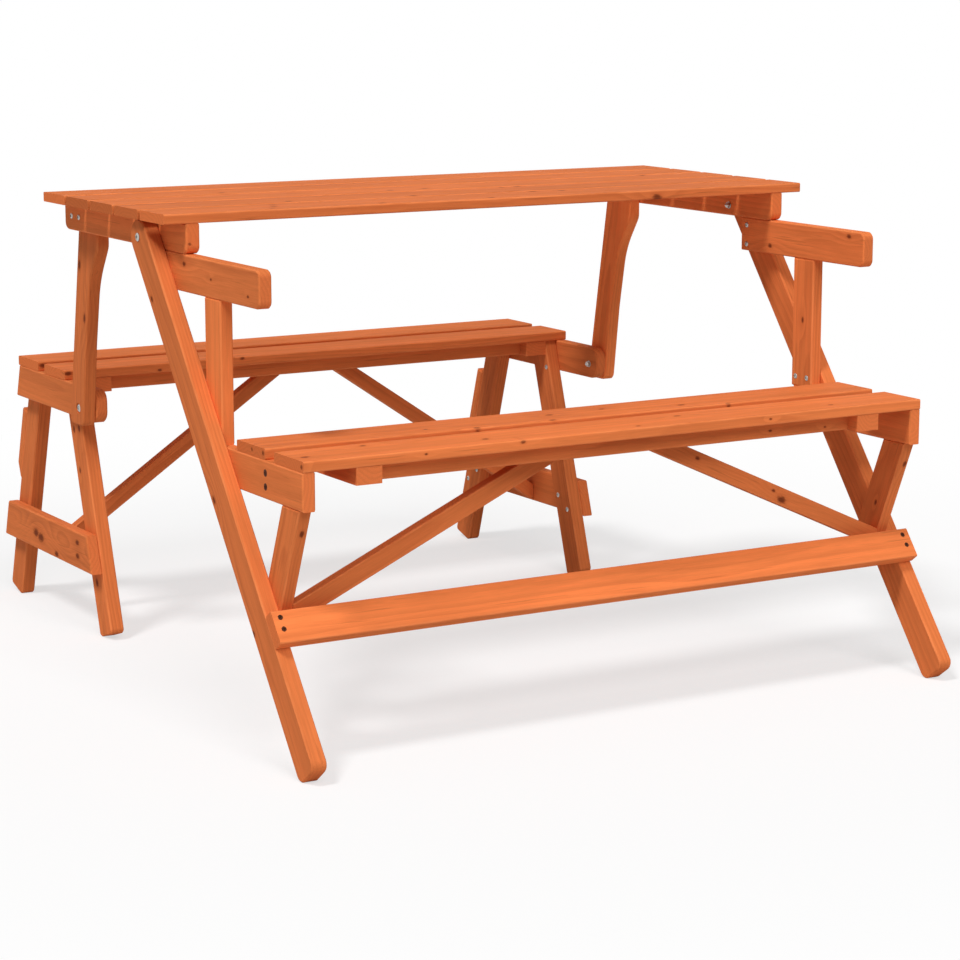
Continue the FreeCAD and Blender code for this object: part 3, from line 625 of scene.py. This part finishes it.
def knot_nodes(t, board, knots, sizes):
    """How much of a knot is at a point, and how far it draws the rings aside.

    A branch runs into the board from the face on which its knot is seen, and a knot on a side face
    is longer along the board.
    """
    mark = None
    pull = None
    ragged = t.math("SUBTRACT", t.noise(t.stretched(board, KNOT_RIM_REPEATS)), 0.5)
    for place, given_radius in knots:
        radius = given_radius * KNOT_SIZE
        off_face = [half - abs(at) for half, at in zip(sizes, place)]
        inward = off_face.index(min(off_face))
        oval = [KNOT_ALONG, 1.0, 1.0]
        wide = [PULL_ALONG, 1.0, 1.0]
        oval[inward] = wide[inward] = KNOT_INWARD if inward else 1.0
        offset = t.vector("SUBTRACT", board, place)
        off = t.math("DIVIDE", t.vector("LENGTH", t.vector("MULTIPLY", offset, oval)), radius)
        off = t.math("ADD", off, t.math("MULTIPLY", ragged, KNOT_RAGGED))
        one_mark = t.steps(off, *KNOT_MARK)
        near = t.vector("LENGTH", t.vector("MULTIPLY", offset, wide))
        one_pull = t.steps(near, 0.0, radius * PULL_REACH, radius * PULL_AMOUNT, 0.0)
        mark = one_mark if mark is None else t.math("MAXIMUM", mark, one_mark)
        pull = one_pull if pull is None else t.math("ADD", pull, one_pull)
    return mark, pull


def board_material(node, group):
    """The stained fir of one board, its pattern laid along the board's own axes."""
    wood, _, _ = settings()
    middle, axes, sizes = board_axes(node)
    draw = random.Random(node)
    material, t, shader = new_material("fir_" + node)
    turn = Matrix([list(row) for row in axes]).to_euler("XYZ")
    coordinates = t.node("ShaderNodeTexCoord").outputs
    turned = t.node("ShaderNodeMapping", vector_type="POINT")
    t.feed(turned.inputs["Vector"], t.vector("SUBTRACT", coordinates["Object"], tuple(middle)))
    turned.inputs["Rotation"].default_value = turn
    facing = t.node("ShaderNodeMapping", vector_type="POINT")
    t.feed(facing.inputs["Vector"], coordinates["Normal"])
    facing.inputs["Rotation"].default_value = turn
    seed = [draw.uniform(-SEED_SPREAD, SEED_SPREAD) for _ in range(3)]
    difference = wood.board_difference
    usual = 1 + draw.uniform(-difference, difference * 0.5)
    # The board's lightness: its stain, with painted light and shade folded in
    tone, end_tone = BOARD_TONES_AND_PAINTED_LIGHT.get(node, (usual, USUAL_END_TONE))
    pith = (draw.uniform(-PITH_ALONG, PITH_ALONG), draw.uniform(-PITH_ACROSS, PITH_ACROSS),
            -draw.uniform(*PITH_UNDER))
    pattern = t.node("ShaderNodeGroup", node_tree=group)
    for name, value in (("Board", turned.outputs[0]), ("Facing", facing.outputs[0]),
                        ("Seed", seed), ("Half size", sizes), ("Pith", pith),
                        ("Lightness", tone), ("End lightness", end_tone)):
        t.feed(pattern.inputs[name], value)
    knots = [(tuple(axes @ (np.array(place) - middle)), radius)
             for place, radius in KNOTS.get(node, ())]
    if knots:
        mark, pull = knot_nodes(t, turned.outputs[0], knots, sizes)
        t.feed(pattern.inputs["Knot mark"], mark)
        t.feed(pattern.inputs["Knot pull"], pull)
    t.feed(shader.inputs["Base Color"], pattern.outputs["Colour"])
    t.feed(shader.inputs["Roughness"], pattern.outputs["Roughness"])
    shader.inputs["Specular IOR Level"].default_value = WOOD_GLOSS
    t.relief(shader, pattern.outputs["Height"], WOOD_BUMP, wood.fibre_relief)
    return material


class StainBoards:
    """Gives each board of a group its own stained fir."""

    boards = ()

    def execute(self, context):
        group = bpy.data.node_groups.get("fir_pattern") or fir_group()
        found = [node for node in sorted(frame["nodes"]) if node.startswith(self.boards)]
        if not found:
            raise RuntimeError("no board is named " + " or ".join(self.boards))
        for node in found:
            piece = frame["nodes"][node]
            piece.data.materials.clear()
            piece.data.materials.append(board_material(node, group))
        return {"FINISHED"}


class StainTableSlats(StainBoards, bpy.types.Operator):
    """Stain the slats and battens of the tilting table top"""

    bl_idname = "picnic_bench.stain_table_slats"
    bl_label = "Table slats and battens"
    boards = ("table_slat", "table_batten")


class StainTableArms(StainBoards, bpy.types.Operator):
    """Stain the curved arms that carry the rear bench"""

    bl_idname = "picnic_bench.stain_table_arms"
    bl_label = "Curved arms"
    boards = ("table_arm",)


class StainSeats(StainBoards, bpy.types.Operator):
    """Stain the slats, strips and cross battens of both seats"""

    bl_idname = "picnic_bench.stain_seats"
    bl_label = "Seats"
    boards = ("front_seat_slat", "front_seat_strip", "front_cross_batten",
              "rear_seat_slat", "rear_seat_strip", "rear_cross_batten")


class StainAprons(StainBoards, bpy.types.Operator):
    """Stain the aprons and the slanted braces under both seats"""

    bl_idname = "picnic_bench.stain_aprons"
    bl_label = "Aprons and braces"
    boards = ("front_seat_apron", "rear_seat_apron", "front_brace", "rear_brace")


class StainFrontSides(StainBoards, bpy.types.Operator):
    """Stain the long legs, rails and struts of the front bench"""

    bl_idname = "picnic_bench.stain_front_sides"
    bl_label = "Front bench sides"
    boards = ("front_leg", "front_rail_left", "front_rail_right", "strut")


class StainArmrests(StainBoards, bpy.types.Operator):
    """Stain the armrests and their posts"""

    bl_idname = "picnic_bench.stain_armrests"
    bl_label = "Armrests"
    boards = ("armrest_left", "armrest_right", "arm_post")


class StainFootrest(StainBoards, bpy.types.Operator):
    """Stain the footrest board"""

    bl_idname = "picnic_bench.stain_footrest"
    bl_label = "Footrest"
    boards = ("footrest_board",)


class StainRearSides(StainBoards, bpy.types.Operator):
    """Stain the splayed legs, rails, stretchers and rest blocks of the rear bench"""

    bl_idname = "picnic_bench.stain_rear_sides"
    bl_label = "Rear bench sides"
    boards = ("rear_bench_", "rear_rail", "stretcher_left", "stretcher_right", "rest_block")


def metal_material(name, colour, metallic, roughness, gloss=0.5):
    """Plated or phosphated steel with fine uneven wear, made once for each name."""
    if name in bpy.data.materials:
        return bpy.data.materials[name]
    material, t, shader = new_material(name)
    place = t.node("ShaderNodeTexCoord").outputs["Object"]
    wear = t.noise(t.stretched(place, WEAR_REPEATS), 3.0, 0.6)
    t.feed(shader.inputs["Base Color"], t.toned(colour, t.steps(wear, *WEAR_RANGE, *WEAR_TONES)))
    t.feed(shader.inputs["Roughness"],
           t.steps(wear, *WEAR_RANGE, roughness + WORN_ROUGHER, roughness - WORN_SMOOTHER))
    shader.inputs["Metallic"].default_value = metallic
    shader.inputs["Specular IOR Level"].default_value = gloss
    t.relief(shader, wear, METAL_BUMP, METAL_RELIEF)
    return material


def zinc_plate():
    """The material of the bolts, nuts and washers."""
    _, hardware, _ = settings()
    return metal_material("zinc_plate", hardware.zinc, metallic=1.0, roughness=0.34)


def solids_of(node):
    """The points of each separate solid in a group of fasteners."""
    same_point = 1e-6
    bm = bmesh.new()
    bm.from_mesh(frame["nodes"][node].data)
    bmesh.ops.remove_doubles(bm, verts=bm.verts, dist=same_point)
    bm.verts.index_update()
    left = set(bm.verts)
    found = []
    while left:
        solid = {left.pop()}
        reached = list(solid)
        while reached:
            vertex = reached.pop()
            near = {edge.other_vert(vertex) for edge in vertex.link_edges} - solid
            solid |= near
            reached += near
        left -= solid
        ordered = sorted(solid, key=lambda vertex: vertex.index)
        found.append(np.array([vertex.co for vertex in ordered], float))
    bm.free()
    return sorted(found, key=lambda points: tuple(np.round(points.mean(0), 4)))


def fastener_seats(node, upright=False):
    """For each fastener: where its head sits, the way the head looks, and its sizes.

    The sizes are the head's radius and height, the shaft's radius and the length below the head.
    A nut is wider than it is tall, so its axis is taken to run along X.
    """
    on_rim = 0.97
    on_tip = 1e-4
    found = []
    for points in solids_of(node):
        middle = (points.min(0) + points.max(0)) / 2
        if upright:
            line = np.array((1.0 if middle[0] < 0 else -1.0, 0, 0))
        else:
            line = np.linalg.eigh(np.cov((points - points.mean(0)).T))[1][:, 2]
        along = (points - middle) @ line
        off = np.linalg.norm((points - middle) - np.outer(along, line), axis=1)
        head = along[off > off.max() * on_rim]
        if not upright and abs(head.mean() - along.min()) < abs(head.mean() - along.max()):
            line, along, head = -line, -along, -head
        shaft = off[along < along.min() + on_tip]
        found.append((Vector(middle + line * head.min()), Vector(line), float(off.max()),
                      float(along.max() - head.min()), float(shaft.max()),
                      float(head.min() - along.min())))
    return found


def hexagon(angle):
    """How far out a hexagon's side is at an angle, over its corner radius."""
    return math.cos(math.pi / 6) / math.cos(angle % (math.pi / 3) - math.pi / 6)


def cross(angle):
    """How far out a cross recess's side is at an angle, over its length."""
    slot_width = 0.26
    off = abs((angle + math.pi / 4) % (math.pi / 2) - math.pi / 4)
    return min(1 / math.cos(off), slot_width / max(math.sin(off), 1e-6))


def turned_mesh(rows):
    """A closed mesh spun about Z from rows (radius, height, shape), where shape may be a function
    of the angle that draws the ring in from its circle."""
    _, hardware, _ = settings()
    same_point = 1e-7
    bm = bmesh.new()
    verts = [bm.verts.new((radius, 0, height)) for radius, height, _ in rows]
    edges = [bm.edges.new(pair) for pair in zip(verts, verts[1:])]
    bmesh.ops.spin(bm, geom=verts + edges, cent=(0, 0, 0), axis=(0, 0, 1), angle=2 * math.pi,
                   steps=hardware.head_sides, use_merge=True, use_duplicate=False)
    for vertex in bm.verts:
        flat = math.hypot(vertex.co.x, vertex.co.y)
        row = min(rows, key=lambda row: abs(row[0] - flat) + abs(row[1] - vertex.co.z))
        if row[2] is not None:
            share = row[2](math.atan2(vertex.co.y, vertex.co.x))
            vertex.co.x *= share
            vertex.co.y *= share
    bmesh.ops.remove_doubles(bm, verts=bm.verts, dist=same_point)
    bmesh.ops.recalc_face_normals(bm, faces=bm.faces)
    for made in bm.faces:
        made.smooth = True
    return finished_mesh(bm, "turned")


def fit_pieces(name, meshes, material, body, replaced=()):
    """One piece from meshes, each with the place of its origin and the way its Z looks."""
    bm = bmesh.new()
    for mesh, seat, line in meshes:
        before = len(bm.verts)
        bm.from_mesh(mesh)
        bm.verts.ensure_lookup_table()
        turn = line.to_track_quat("Z", "Y").to_matrix().to_4x4()
        bmesh.ops.transform(bm, matrix=Matrix.Translation(seat) @ turn, verts=bm.verts[before:])
    mesh = finished_mesh(bm, name)
    mesh.set_sharp_from_angle(angle=SHARP_ANGLE)
    mesh.materials.append(material)
    piece = new_object(name, mesh)
    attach(piece, body)
    if replaced:
        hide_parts(*replaced)


def dome_rows(radius, low, rise, inner, count=6):
    """Rows of a dome from its rim at height low in to the radius inner."""
    ball = (radius * radius + rise * rise) / (2 * rise)
    rows = []
    for number in range(count + 1):
        out = radius + (inner - radius) * number / count
        rows.append((out, low + rise - ball + math.sqrt(ball * ball - out * out), None))
    return rows


def bolt_mesh(radius, shaft, length, rim, rise):
    """A domed bolt with a hexagon socket, its head's underside at the origin."""
    _, hardware, _ = settings()
    socket = radius * hardware.socket_size
    under_rim = radius * 0.96
    mouth = socket * 1.08
    softened_mouth = socket * 1.02
    softening = 0.00006
    rows = [(0, -length, None), (shaft, -length, None), (shaft, 0, None), (under_rim, 0, None),
            (radius, rim * 0.4, None)]
    rows += dome_rows(radius, rim, rise, mouth)
    top = rows[-1][1]
    bottom = top - (rim + rise) * 0.62
    drill_point = 0.0001
    rows += [(softened_mouth, top - softening, hexagon), (socket, bottom, hexagon),
             (0, bottom - drill_point, None)]
    return turned_mesh(rows)


def nut_mesh(radius, height):
    """A domed hexagon nut, its seat at the origin."""
    dome_steps = 8
    base = height * 0.55
    seat = radius * 0.86
    shoulder = radius * 0.84
    dome = radius * 0.70
    pole = 0.00002
    rows = [(0, 0, None), (seat, 0, None), (radius * 0.97, 0.0005, hexagon),
            (radius, 0.0009, hexagon), (radius, base - 0.0006, hexagon), (shoulder, base, None)]
    rows += dome_rows(dome, base, height - base, pole, dome_steps)
    rows.append((0, rows[-1][1], None))
    return turned_mesh(rows)


def washer_mesh(radius):
    """A washer with softened rims, its seat at the origin."""
    _, hardware, _ = settings()
    thick = hardware.washer_thick
    soft = thick * 0.25
    rows = [(0, 0, None), (radius - soft, 0, None), (radius, soft, None),
            (radius, thick - soft, None), (radius - soft, thick, None), (0, thick, None)]
    return turned_mesh(rows)


def screw_mesh(radius, shaft, length, head_height):
    """A dark countersunk screw with a cross recess, its face at the origin."""
    arm = radius * 0.62
    arm_at_bottom = arm * 0.55
    rows = [(0, -length, None), (shaft, -length, None), (shaft, -head_height, None),
            (radius * 0.98, -0.00015, None), (radius * 0.96, 0.00002, None),
            (radius * 0.80, 0.00016, None), (arm * 1.10, 0.00020, cross),
            (arm, 0.00010, cross), (arm_at_bottom, -head_height * 0.55, cross),
            (0, -head_height * 0.75, None)]
    return turned_mesh(rows)


class FitPivots(bpy.types.Operator):
    """Fit the bolts, washers and domed nuts of the two pairs of pivots"""

    bl_idname = "picnic_bench.fit_pivots"
    bl_label = "Pivots"

    def execute(self, context):
        _, hardware, _ = settings()
        zinc = zinc_plate()
        thick = hardware.washer_thick
        for name in ("table_pivot", "rear_pivot"):
            made = []
            for seat, line, radius, height, shaft, length in fastener_seats(name + "_bolts"):
                rim, rise = height * 0.3, height * 0.7
                mesh = bolt_mesh(radius * hardware.pivot_head_size, shaft, length, rim, rise)
                made.append((mesh, seat, line))
            fit_pieces(name + "_bolt_pieces", made, zinc, BODY_OF[name + "_bolts"],
                       [name + "_bolts"])
            made = []
            for seat, line, radius, height, _, _ in fastener_seats(name + "_nuts", upright=True):
                radius *= hardware.pivot_nut_size
                washer = radius * 1.12
                made.append((washer_mesh(washer), seat, line))
                made.append((nut_mesh(radius, height - thick), seat + line * thick, line))
            fit_pieces(name + "_nut_pieces", made, zinc, BODY_OF[name + "_nuts"],
                       [name + "_nuts"])
        return {"FINISHED"}


class FitBoardBolts(bpy.types.Operator):
    """Fit the small domed bolts that hold the boards of each side together"""

    bl_idname = "picnic_bench.fit_board_bolts"
    bl_label = "Board bolts"

    def execute(self, context):
        _, hardware, _ = settings()
        zinc = zinc_plate()
        for name in ("armrest_bolts", "post_bolts", "arm_bolts", "leg_top_bolts",
                     "stretcher_bolts"):
            made = []
            for seat, line, radius, height, shaft, length in fastener_seats(name):
                radius *= hardware.board_bolt_size
                rim, rise = height * 0.25, radius * hardware.dome_rise
                made.append((bolt_mesh(radius, shaft, length, rim, rise), seat, line))
            fit_pieces(name[:-1] + "_pieces", made, zinc, BODY_OF[name], [name])
        return {"FINISHED"}


class FitScrews(bpy.types.Operator):
    """Fit the dark countersunk screws of the footrest, the rails and the slats' undersides"""

    bl_idname = "picnic_bench.fit_screws"
    bl_label = "Screws"

    def execute(self, context):
        _, hardware, _ = settings()
        dark = metal_material("dark_steel", hardware.dark_steel, metallic=0.2, roughness=0.6,
                              gloss=0.15)
        for name, size in (("footrest_screws", hardware.footrest_screw_size),
                           ("front_rail_screws", hardware.rail_screw_size)):
            made = []
            for seat, line, radius, height, shaft, length in fastener_seats(name):
                radius *= size
                mesh = screw_mesh(radius, shaft, length + height, radius * COUNTERSINK)
                made.append((mesh, seat + line * height, line))
            fit_pieces(name[:-1] + "_pieces", made, dark, BODY_OF[name], [name])
        small = hardware.hidden_screw_radius
        mesh = screw_mesh(small, small * SCREW_SHAFT, SCREW_LENGTH, small * COUNTERSINK)
        for name, battens, slats, places in (
                ("table_batten_screw_pieces", "table_batten_", "table_slat_", TABLE_SCREW_PLACES),
                ("front_seat_screw_pieces", "front_cross_batten_", "front_seat_slat_",
                 SEAT_SCREW_PLACES),
                ("rear_seat_screw_pieces", "rear_cross_batten_", "rear_seat_slat_",
                 SEAT_SCREW_PLACES)):
            made = []
            for batten in sorted(node for node in frame["nodes"] if node.startswith(battens)):
                low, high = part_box(batten)
                for slat in sorted(node for node in frame["nodes"] if node.startswith(slats)):
                    slat_low, slat_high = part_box(slat)
                    for place in places:
                        y = slat_low.y + place * (slat_high.y - slat_low.y)
                        if low.y + small < y < high.y - small:
                            seat = Vector(((low.x + high.x) / 2, y, low.z - SCREW_STANDS_OFF))
                            made.append((mesh, seat, Vector((0, 0, -1))))
            fit_pieces(name, made, dark, BODY_OF[battens + "left"])
        return {"FINISHED"}


def seen_ray(t):
    """1 for what the camera, a mirror or glass looks at, and 0 for the light on the object."""
    path = t.node("ShaderNodeLightPath").outputs
    return t.math("MAXIMUM", path["Is Camera Ray"],
                  t.math("MAXIMUM", path["Is Glossy Ray"], path["Is Transmission Ray"]))


def studio_floor(studio):
    """A pale floor that keeps the object's shadow and turns white away from it."""
    bm = bmesh.new()
    bmesh.ops.create_grid(bm, x_segments=1, y_segments=1, size=FLOOR_HALF)
    floor = new_object("studio_floor", finished_mesh(bm, "studio_floor"))
    material, t, shader = new_material("pale_floor")
    seen = seen_ray(t)
    t.feed(shader.inputs["Base Color"], t.blend(seen, [studio.floor_grey] * 3,
                                                [studio.floor_seen] * 3))
    shader.inputs["Roughness"].default_value = FLOOR_ROUGHNESS
    shader.inputs["Specular IOR Level"].default_value = 0.0
    away = t.vector("LENGTH", t.node("ShaderNodeTexCoord").outputs["Object"])
    white = t.node("ShaderNodeEmission")
    mix = t.node("ShaderNodeMixShader")
    share = t.steps(away, studio.white_from, studio.white_at, studio.white_near, 1.0)
    t.feed(mix.inputs[0], t.math("MULTIPLY", seen, share))
    t.feed(mix.inputs[1], shader.outputs[0])
    t.feed(mix.inputs[2], white.outputs[0])
    t.feed(material.node_tree.nodes["Material Output"].inputs["Surface"], mix.outputs[0])
    floor.data.materials.append(material)


def studio_world(studio):
    """Even pale light, and white where the camera, a mirror or glass looks past the object."""
    world = bpy.data.worlds.new("studio_world")
    bpy.context.scene.world = world
    world.use_nodes = True
    t = Tree(world.node_tree)
    t.tree.nodes.clear()
    mix = t.node("ShaderNodeMixShader")
    t.feed(mix.inputs[0], seen_ray(t))
    for socket, strength in ((1, studio.sky_strength), (2, 1.0)):
        background = t.node("ShaderNodeBackground")
        background.inputs["Color"].default_value = (1, 1, 1, 1)
        background.inputs["Strength"].default_value = strength
        t.feed(mix.inputs[socket], background.outputs[0])
    t.feed(t.node("ShaderNodeOutputWorld").inputs["Surface"], mix.outputs[0])


def soft_lamp(name, shines, strength, softness):
    """A wide, soft lamp far off that shines along a direction."""
    lamp = bpy.data.lights.new(name, "SUN")
    lamp.energy = strength
    lamp.angle = softness
    holder = new_object(name, lamp)
    line = Vector(shines).normalized()
    holder.location = -LAMP_DISTANCE * line
    holder.rotation_euler = line.to_track_quat("-Z", "Y").to_euler()


def studio_camera(studio):
    """The camera at the photograph's viewing angle."""
    lens = bpy.data.cameras.new("studio_camera")
    lens.sensor_width = 36.0
    lens.lens = studio.lens
    camera = new_object("studio_camera", lens)
    camera.location = studio.camera_place
    camera.rotation_euler = (math.pi / 2 - studio.camera_tilt, 0, -studio.camera_turn)
    bpy.context.scene.camera = camera


class BuildStudio(bpy.types.Operator):
    """Set up the floor, the soft lamps, the pale surroundings and the camera"""

    bl_idname = "picnic_bench.build_studio"
    bl_label = "Studio"

    def execute(self, context):
        _, _, studio = settings()
        studio_floor(studio)
        studio_world(studio)
        soft_lamp("side_lamp", SIDE_LAMP_SHINES, studio.side_lamp_strength,
                  studio.side_lamp_width)
        soft_lamp("front_lamp", FRONT_LAMP_SHINES, studio.front_lamp_strength,
                  studio.front_lamp_width)
        studio_camera(studio)
        context.scene.view_settings.view_transform = "Standard"
        return {"FINISHED"}


class PicnicBenchPanel(bpy.types.Panel):
    """Buttons for the finishes and the studio"""

    bl_idname = "VIEW3D_PT_picnic_bench"
    bl_label = "Picnic bench"
    bl_space_type = "VIEW_3D"
    bl_region_type = "UI"
    bl_category = "Picnic Bench"

    def draw(self, context):
        for operator in OPERATORS:
            self.layout.operator(operator.bl_idname)
        for group in settings():
            box = self.layout.box()
            for name in group.bl_rna.properties.keys():
                if name not in ("rna_type", "name"):
                    box.prop(group, name)


GROUPS = {"stained_fir": StainedFirSettings, "bench_hardware": HardwareSettings,
          "bench_studio": StudioSettings}
OPERATORS = (StainTableSlats, StainTableArms, StainSeats, StainAprons, StainFrontSides,
             StainArmrests, StainFootrest, StainRearSides, FitPivots, FitBoardBolts, FitScrews,
             BuildStudio)


def register():
    for name, group in GROUPS.items():
        bpy.utils.register_class(group)
        setattr(bpy.types.Scene, name, PointerProperty(type=group))
    for made in (*OPERATORS, PicnicBenchPanel):
        bpy.utils.register_class(made)


def unregister():
    for made in reversed((*OPERATORS, PicnicBenchPanel)):
        bpy.utils.unregister_class(made)
    for name, group in GROUPS.items():
        delattr(bpy.types.Scene, name)
        bpy.utils.unregister_class(group)


def main():
    register()
    bpy.ops.picnic_bench.stain_table_slats()
    bpy.ops.picnic_bench.stain_table_arms()
    bpy.ops.picnic_bench.stain_seats()
    bpy.ops.picnic_bench.stain_aprons()
    bpy.ops.picnic_bench.stain_front_sides()
    bpy.ops.picnic_bench.stain_armrests()
    bpy.ops.picnic_bench.stain_footrest()
    bpy.ops.picnic_bench.stain_rear_sides()
    bpy.ops.picnic_bench.fit_pivots()
    bpy.ops.picnic_bench.fit_board_bolts()
    bpy.ops.picnic_bench.fit_screws()
    bpy.ops.picnic_bench.build_studio()


if __name__ == "__main__":
    main()
